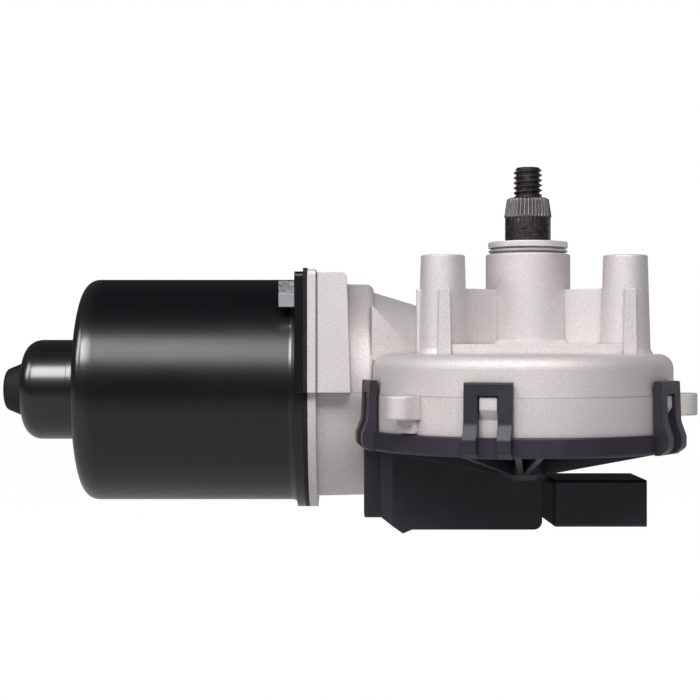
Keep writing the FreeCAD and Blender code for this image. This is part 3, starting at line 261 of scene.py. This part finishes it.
def moulding(name, colour, roughness=0.42, grain=2600, depth=0.02):
    """Moulded plastic with a fine eroded texture and slightly paler rubbed patches."""
    look = Shader(name, colour, roughness, specular=0.5)
    look.soft_edges(0.3 * MM)
    patches = look.spread(look.noise(70, detail=4, roughness=0.65), 0.35, 0.75)
    pale = tuple(c * 1.35 + 0.004 for c in colour)
    look.colour(look.blend(patches, colour, pale))
    texture = look.noise(grain, detail=2)
    look.roughness(look.spread(look.noise(160, detail=3), 0.3, 0.7, roughness - 0.05, roughness + 0.08))
    look.bump(texture, depth * MM, 0.7)
    return look.material


def rubber(name, colour):
    """Dull moulded rubber with a little dust on it."""
    look = Shader(name, colour, 0.62, specular=0.25)
    look.soft_edges(0.3 * MM)
    dust = look.spread(look.noise(120, detail=5, roughness=0.7), 0.45, 0.8)
    look.colour(look.blend(dust, colour, tuple(c * 1.8 for c in colour)))
    look.bump(look.noise(1500, detail=3), 0.03 * MM, 0.7)
    return look.material


def bare_metal(name, colour, roughness, stretch=(1, 1, 1), grain=500, metallic=1.0):
    """Machined or plated metal, with fine tool marks along one direction."""
    look = Shader(name, colour, roughness, metallic=metallic)
    look.soft_edges(0.12 * MM)
    marks = look.noise(grain, detail=4, roughness=0.6, stretch=stretch)
    dull = tuple(c * 0.86 for c in colour)
    look.colour(look.blend(look.spread(look.noise(130, detail=3), 0.35, 0.7), dull, colour))
    look.roughness(look.spread(marks, 0.3, 0.7, roughness * 0.8, roughness * 1.25))
    look.bump(marks, 0.008 * MM, 0.5)
    return look.material


def oxide_steel(name, colour):
    """Black oxide over turned steel, with the steel rubbed bright in places."""
    look = Shader(name, colour, 0.36, metallic=0.85)
    look.soft_edges(0.1 * MM)
    worn = look.spread(look.noise(700, detail=5, roughness=0.7), 0.56, 0.78)
    brown = (colour[0] * 1.25, colour[1] * 1.1, colour[2] * 0.95)
    base = look.blend(look.spread(look.noise(220, detail=3), 0.4, 0.65), colour, brown)
    height = look.add("ShaderNodeSeparateXYZ", Vector=look.place).outputs["Z"]
    above = look.spread(height, SERRATION_FOOT_Z - 0.3 * MM, SERRATION_FOOT_Z + 0.3 * MM)
    below = look.spread(height, SERRATION_TOP_Z - 0.5 * MM, SERRATION_TOP_Z, 1.0, 0.0)
    rubbed = look.math("MULTIPLY", look.math("MULTIPLY", above, below), 0.65)
    base = look.blend(rubbed, base, (0.26, 0.25, 0.25))
    look.colour(look.blend(worn, base, (0.3, 0.29, 0.29)))
    look.roughness(look.spread(look.noise(900, detail=3), 0.3, 0.7, 0.28, 0.46))
    look.bump(look.noise(420, detail=3, stretch=(1, 1, 9)), 0.01 * MM, 0.5)
    return look.material


def sintered(name, colour):
    """Pressed metal powder or ground ceramic, full of small pores."""
    look = Shader(name, colour, 0.5, metallic=0.6)
    pores = look.spread(look.noise(2200, detail=3, roughness=0.7), 0.35, 0.5)
    look.colour(look.blend(pores, tuple(c * 0.45 for c in colour), colour))
    look.bump(pores, 0.02 * MM, 0.6)
    return look.material


def wound_wire(name, colour):
    """Enamelled copper wire laid side by side."""
    look = Shader(name, colour, 0.28, metallic=0.9)
    strands = look.bands(420, "DIAGONAL", distortion=1.2)
    look.colour(look.blend(strands, tuple(c * 0.35 for c in colour), colour))
    look.bump(strands, 0.18 * MM, 0.9)
    return look.material


def stacked_sheets(name, colour):
    """Steel laminations, half a millimetre thick, seen on edge."""
    look = Shader(name, colour, 0.45, metallic=0.8)
    sheets = look.bands(320, "X")
    edge = look.spread(sheets, 0.0, 0.3)
    look.colour(look.blend(edge, tuple(c * 0.4 for c in colour), colour))
    look.bump(edge, 0.05 * MM, 0.8)
    return look.material


def coated_board(name, colour):
    """Circuit board with a green mask and paler copper runs under it."""
    look = Shader(name, colour, 0.3)
    runs = look.add("ShaderNodeTexVoronoi", Vector=look.place, Scale=240.0, feature="DISTANCE_TO_EDGE")
    line = look.spread(runs.outputs["Distance"], 0.04, 0.07)
    look.colour(look.blend(line, (colour[0] * 2.0, colour[1] * 1.7, colour[2] * 2.0), colour))
    look.bump(line, 0.03 * MM, 0.6)
    return look.material


TURNED = (0.15, 1, 1)
MAKERS = {
    "cast_aluminium": lambda name: cast_metal(name, (0.8, 0.762, 0.76)),
    "can_paint": lambda name: enamel(name, (0.0033, 0.0023, 0.004)),
    "cover_plastic": lambda name: moulding(name, (0.022, 0.0185, 0.0275)),
    "nose_rubber": lambda name: rubber(name, (0.0115, 0.0098, 0.0112)),
    "seal_rubber": lambda name: rubber(name, (0.014, 0.013, 0.014)),
    "black_oxide_steel": lambda name: oxide_steel(name, (0.075, 0.07, 0.076)),
    "zinc_steel": lambda name: bare_metal(name, (0.6, 0.61, 0.64), 0.2, grain=900),
    "plain_steel": lambda name: bare_metal(name, (0.72, 0.7, 0.7), 0.4, TURNED, metallic=0.45),
    "light_cap": lambda name: bare_metal(name, (0.86, 0.83, 0.83), 0.45, (1, 1, 0.1), metallic=0.3),
    "sintered_bronze": lambda name: sintered(name, (0.5, 0.34, 0.17)),
    "wheel_nylon": lambda name: moulding(name, (0.72, 0.69, 0.58), 0.45, 900, 0.01),
    "copper": lambda name: wound_wire(name, (0.62, 0.26, 0.12)),
    "brass": lambda name: bare_metal(name, (0.75, 0.56, 0.24), 0.3, grain=700),
    "carbon": lambda name: sintered(name, (0.05, 0.05, 0.052)),
    "ferrite": lambda name: sintered(name, (0.09, 0.09, 0.095)),
    "spring_steel": lambda name: bare_metal(name, (0.48, 0.48, 0.5), 0.25),
    "core_steel": lambda name: stacked_sheets(name, (0.34, 0.34, 0.35)),
    "card_fibre": lambda name: moulding(name, (0.26, 0.14, 0.06), 0.6, 700, 0.03),
    "board_green": lambda name: coated_board(name, (0.02, 0.13, 0.05)),
    "relay_plastic": lambda name: moulding(name, (0.05, 0.05, 0.056), 0.35),
    "thrust_nylon": lambda name: moulding(name, (0.7, 0.68, 0.6), 0.4, 900, 0.01),
}


def dress_nodes():
    """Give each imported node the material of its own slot."""
    looks = {slot: maker(slot) for slot, maker in MAKERS.items()}
    for part in frame["record"]["subparts"]:
        node = frame["nodes"][part["node"]]
        node.data.materials.clear()
        node.data.materials.append(looks[part["material_slot"]])
    return looks


def steady(radius):
    """Radius that is the same all round."""
    return lambda angle, z: radius


def serration(radius):
    """Radius of the serrated cone: flat-topped teeth with sharp valleys."""
    def around(angle, z):
        tooth = (angle * SERRATIONS / (2 * math.pi)) % 1.0
        slope = abs(2 * tooth - 1)
        return radius - SERRATION_DEPTH * max(0.0, slope * 1.25 - 0.25)
    return around


def thread(angle, z):
    """Radius of the stud: a right-hand V thread that fades in at its foot and ends in a chamfer."""
    turn = (z / THREAD_PITCH - angle / (2 * math.pi)) % 1.0
    groove = min(max((abs(2 * turn - 1) - THREAD_CREST) / THREAD_FLANK, 0.0), 1.0)
    fade = min(1.0, (z - SERRATION_TOP_Z) / (THREAD_RUN_IN * THREAD_PITCH))
    return min(STUD_RADIUS - THREAD_DEPTH * groove * fade, STUD_RADIUS - STUD_CHAMFER + STUD_TOP_Z - z)


def shaft_rows():
    """Rings of the shaft from its lower end to the stud's top, as (z, radius around)."""
    low, high = RING_GROOVE_Z, RING_GROOVE_Z + RING_GROOVE_HEIGHT
    neck = SHAFT_RADIUS - RING_GROOVE_DEPTH
    rows = [
        (SHAFT_FOOT_Z, steady(SHAFT_RADIUS - SHAFT_CHAMFER)),
        (SHAFT_FOOT_Z + SHAFT_CHAMFER, steady(SHAFT_RADIUS)),
        (low, steady(SHAFT_RADIUS)),
        (low, steady(neck)),
        (high, steady(neck)),
        (high, steady(SHAFT_RADIUS)),
        (SEAM_Z - SEAM_HALF_WIDTH, steady(SHAFT_RADIUS)),
        (SEAM_Z, steady(SHAFT_RADIUS - SEAM_DEPTH)),
        (SEAM_Z + SEAM_HALF_WIDTH, steady(SHAFT_RADIUS)),
        (SERRATION_FOOT_Z - 0.15 * MM, steady(SHAFT_RADIUS)),
        (SERRATION_FOOT_Z + 0.1 * MM, serration(SERRATION_FOOT_RADIUS)),
    ]
    for i in range(1, SERRATION_ROWS + 1):
        share = i / SERRATION_ROWS
        z = SERRATION_FOOT_Z + (SERRATION_TOP_Z - 0.35 * MM - SERRATION_FOOT_Z) * share
        radius = SERRATION_FOOT_RADIUS + (SERRATION_TOP_RADIUS - SERRATION_FOOT_RADIUS) * share
        rows.append((z, serration(radius)))
    rows.append((SERRATION_TOP_Z, steady(SERRATION_TOP_RADIUS - 0.65 * MM)))
    rows.append((SERRATION_TOP_Z, steady(STUD_RADIUS)))
    stud = STUD_TOP_Z - SERRATION_TOP_Z
    count = int(stud / THREAD_STEP)
    rows += [(SERRATION_TOP_Z + stud * i / count, thread) for i in range(1, count + 1)]
    return rows


def make_shaft(look):
    """The output shaft with its real thread and serrations, in the place of the plain one."""
    points, faces = [], []
    rows = shaft_rows()
    for z, around in rows:
        for i in range(SHAFT_SIDES):
            angle = 2 * math.pi * i / SHAFT_SIDES
            radius = around(angle, z)
            points.append((radius * math.cos(angle), radius * math.sin(angle), z))
    for row in range(len(rows) - 1):
        for i in range(SHAFT_SIDES):
            a = row * SHAFT_SIDES + i
            b = row * SHAFT_SIDES + (i + 1) % SHAFT_SIDES
            faces.append((a, b, b + SHAFT_SIDES, a + SHAFT_SIDES))
    top = (len(rows) - 1) * SHAFT_SIDES
    faces.append(tuple(range(SHAFT_SIDES - 1, -1, -1)))
    faces.append(tuple(range(top, top + SHAFT_SIDES)))
    mesh = bpy.data.meshes.new("threaded_shaft")
    mesh.from_pydata(points, [], faces)
    mesh.polygons.foreach_set("use_smooth", [True] * len(mesh.polygons))
    mesh.set_sharp_from_angle(angle=math.radians(35))
    mesh.materials.append(look)
    shaft = bpy.data.objects.new("threaded_shaft", mesh)
    scene.collection.objects.link(shaft)
    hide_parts("output_shaft")
    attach(shaft, "output")


def set_camera():
    """Camera that looks along +Y from in front of the motor."""
    data = bpy.data.cameras.new("camera")
    data.lens = CAMERA_LENS
    data.sensor_width = CAMERA_SENSOR
    data.clip_start = 0.01
    data.clip_end = 50.0
    camera = bpy.data.objects.new("camera", data)
    camera.location = CAMERA_PLACE
    camera.rotation_euler = (math.radians(90), 0, 0)
    scene.collection.objects.link(camera)
    scene.camera = camera


def set_world():
    """White to the camera, and a dim studio that is paler below the horizon to everything else."""
    world = bpy.data.worlds.new("studio")
    scene.world = world
    world.use_nodes = True
    nodes = world.node_tree.nodes
    link = world.node_tree.links.new
    room = nodes["Background"]
    room.inputs["Strength"].default_value = 1.0
    place = nodes.new("ShaderNodeTexCoord")
    axes = nodes.new("ShaderNodeSeparateXYZ")
    link(place.outputs["Generated"], axes.inputs[0])
    rise = nodes.new("ShaderNodeValToRGB")
    ends = rise.color_ramp.elements
    for i in range(2):
        ends[i].position = ROOM_EDGE[i]
        ends[i].color = (ROOM_BELOW, ROOM_ABOVE)[i]
    half = nodes.new("ShaderNodeMapRange")
    half.inputs["From Min"].default_value = -1.0
    link(axes.outputs["Z"], half.inputs["Value"])
    link(half.outputs["Result"], rise.inputs["Fac"])
    link(rise.outputs["Color"], room.inputs["Color"])
    white = nodes.new("ShaderNodeBackground")
    white.inputs["Color"].default_value = (1, 1, 1, 1)
    path = nodes.new("ShaderNodeLightPath")
    mix = nodes.new("ShaderNodeMixShader")
    link(path.outputs["Is Camera Ray"], mix.inputs["Fac"])
    link(room.outputs[0], mix.inputs[1])
    link(white.outputs[0], mix.inputs[2])
    link(mix.outputs[0], nodes["World Output"].inputs["Surface"])


def softbox(name, place, width, height, power):
    """Rectangular soft light that faces the motor."""
    data = bpy.data.lights.new(name, "AREA")
    data.shape = "RECTANGLE"
    data.size = width
    data.size_y = height
    data.energy = power
    lamp = bpy.data.objects.new(name, data)
    lamp.location = place
    lamp.rotation_euler = (Vector(MIDDLE) - Vector(place)).to_track_quat("-Z", "Y").to_euler()
    scene.collection.objects.link(lamp)


def set_lights():
    softbox("key_softbox", *KEY_LIGHT)
    softbox("left_softbox", *LEFT_LIGHT)
    softbox("back_strip", *BACK_LIGHT)


def set_floor():
    """Wide pale floor, well below the part, which its bosses hold. Its underside is clear."""
    place = (0, FLOOR_MIDDLE_Y, FLOOR_Z)
    bpy.ops.mesh.primitive_grid_add(x_subdivisions=4, y_subdivisions=4, size=FLOOR_SIZE, location=place)
    floor = bpy.context.object
    floor.name = "studio_floor"
    material = bpy.data.materials.new("floor_white")
    material.use_nodes = True
    nodes = material.node_tree.nodes
    link = material.node_tree.links.new
    matt = nodes["Principled BSDF"]
    matt.inputs["Base Color"].default_value = FLOOR_GREY
    matt.inputs["Roughness"].default_value = 0.8
    glow = nodes.new("ShaderNodeEmission")
    glow.inputs["Strength"].default_value = FLOOR_GLOW
    path = nodes.new("ShaderNodeLightPath")
    mirrored = nodes.new("ShaderNodeMath")
    mirrored.operation = "MULTIPLY"
    mirrored.inputs[1].default_value = FLOOR_GLOW_MIRRORED
    link(path.outputs["Is Glossy Ray"], mirrored.inputs[0])
    share = nodes.new("ShaderNodeMath")
    share.operation = "MULTIPLY_ADD"
    share.inputs[1].default_value = FLOOR_GLOW_SEEN
    link(mirrored.outputs[0], share.inputs[2])
    mix = nodes.new("ShaderNodeMixShader")
    link(path.outputs["Is Camera Ray"], share.inputs[0])
    link(share.outputs[0], mix.inputs["Fac"])
    link(matt.outputs[0], mix.inputs[1])
    link(glow.outputs[0], mix.inputs[2])
    clear = nodes.new("ShaderNodeBsdfTransparent")
    underside = nodes.new("ShaderNodeMixShader")
    link(nodes.new("ShaderNodeNewGeometry").outputs["Backfacing"], underside.inputs["Fac"])
    link(mix.outputs[0], underside.inputs[1])
    link(clear.outputs[0], underside.inputs[2])
    link(underside.outputs[0], nodes["Material Output"].inputs["Surface"])
    floor.data.materials.append(material)


looks = dress_nodes()
make_shaft(looks["black_oxide_steel"])
set_camera()
set_world()
set_lights()
set_floor()
scene.view_settings.view_transform = "Standard"
